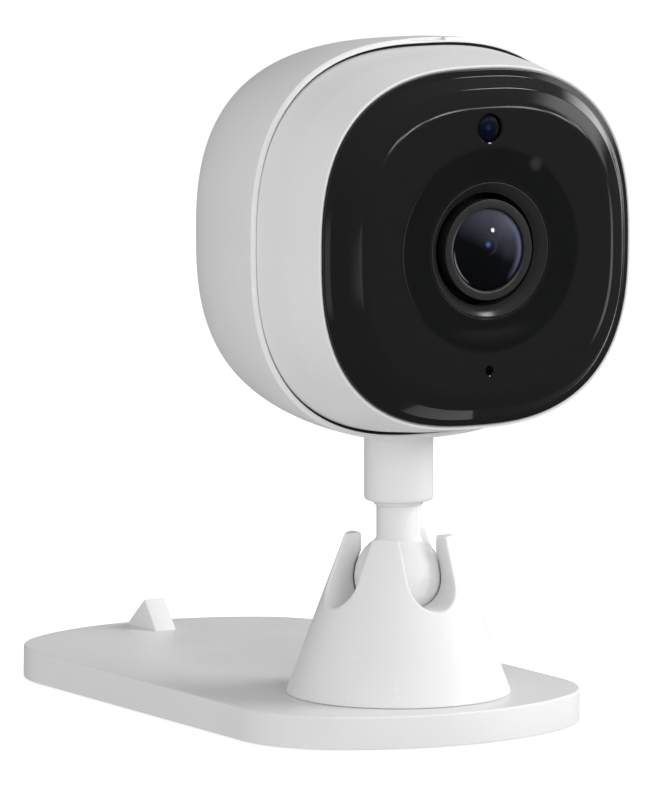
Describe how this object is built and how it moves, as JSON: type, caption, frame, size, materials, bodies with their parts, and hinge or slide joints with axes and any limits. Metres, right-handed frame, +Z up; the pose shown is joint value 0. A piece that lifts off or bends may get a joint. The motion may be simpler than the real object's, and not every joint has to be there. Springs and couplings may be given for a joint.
{
  "type": "indoor security camera",
  "caption": "Compact indoor security camera: rounded square head with a dark lens window on a ball post, held in a slotted cone on a weighted base it folds down onto.",
  "frame": {"origin": "on the surface the foot pads stand on, directly under the ball joint's centre", "axes": "+Z up; the camera looks along -Y at rest; the base's long tail runs towards +Y; +X is to the camera's left as it looks out, the viewer's right from the front"},
  "size_m": [0.067, 0.1211, 0.1167],
  "materials": {
    "white_plastic": "fine matt moulded finish",
    "black_window": "polished dark infrared-passing plastic",
    "black_plastic": "satin black moulding",
    "lens_glass": "coated optical glass",
    "clear_plastic": "clear moulding",
    "filter_glass": "interference-coated glass",
    "rubber": "soft matt rubber",
    "seat_rubber": "firm silicone",
    "steel": "zinc-plated steel",
    "ballast_steel": "rolled steel plate",
    "screw_steel": "plated screw steel",
    "circuit_board": "solder-masked laminate",
    "chip": "moulded package",
    "emitter": "tinted emitter package",
    "foam": "closed-cell foam",
    "mesh": "fine acoustic mesh",
    "flex": "polyimide film"
  },
  "bodies": {
    "stand": {"base_plate": "white_plastic", "ballast_plate": "ballast_steel", "base_bottom_cover": "white_plastic", "foot_pads": "rubber", "base_screws": "screw_steel", "socket_cone": "white_plastic", "cone_screws": "screw_steel"},
    "ball_seat": {"ball_seat": "seat_rubber"},
    "ball_stud": {"ball_stud": "white_plastic", "stud_screw": "screw_steel", "stud_washer": "steel"},
    "head": {"rear_shell": "white_plastic", "front_ring": "white_plastic", "front_window": "black_window", "window_gasket": "foam", "housing_screws": "screw_steel", "board_screws": "screw_steel", "lens_trim_ring": "black_plastic", "light_seal": "foam", "lens_barrel": "black_plastic", "front_lens": "lens_glass", "inner_lenses": "lens_glass", "lens_holder": "black_plastic", "ir_cut_filter": "filter_glass", "image_sensor": "chip", "main_board": "circuit_board", "ir_led_board": "circuit_board", "ir_leds": "emitter", "led_board_connector": "chip", "light_guide": "clear_plastic", "light_sensor": "chip", "microphone_boot": "rubber", "microphone": "steel", "processor_shield": "steel", "speaker": "steel", "speaker_mesh": "mesh", "wifi_antenna": "flex", "io_board": "circuit_board", "io_flex": "flex", "usb_socket": "steel", "usb_tongue": "black_plastic", "card_socket": "steel", "reset_switch": "chip"},
    "reset_button": {"reset_button": "black_plastic"}
  },
  "joints": [
    {"name": "ball_pan", "type": "hinge", "parent": "stand", "child": "ball_seat", "pos_m": [0, 0, 0.0254], "axis": [0, 0, 1], "continuous": true},
    {"name": "ball_tilt", "type": "hinge", "parent": "ball_seat", "child": "ball_stud", "pos_m": [0, 0, 0.0254], "axis": [1, 0, 0], "range_deg": [-78, 70]},
    {"name": "head_swivel", "type": "hinge", "parent": "ball_stud", "child": "head", "pos_m": [0, 0, 0.0254], "axis": [0, 0, 1], "continuous": true},
    {"name": "reset_press", "type": "slide", "parent": "head", "child": "reset_button", "axis": [0, -1, 0], "range_m": [0, 0.0005], "stiffness_N_per_m": 400, "springref_m": -0.0005}
  ]
}
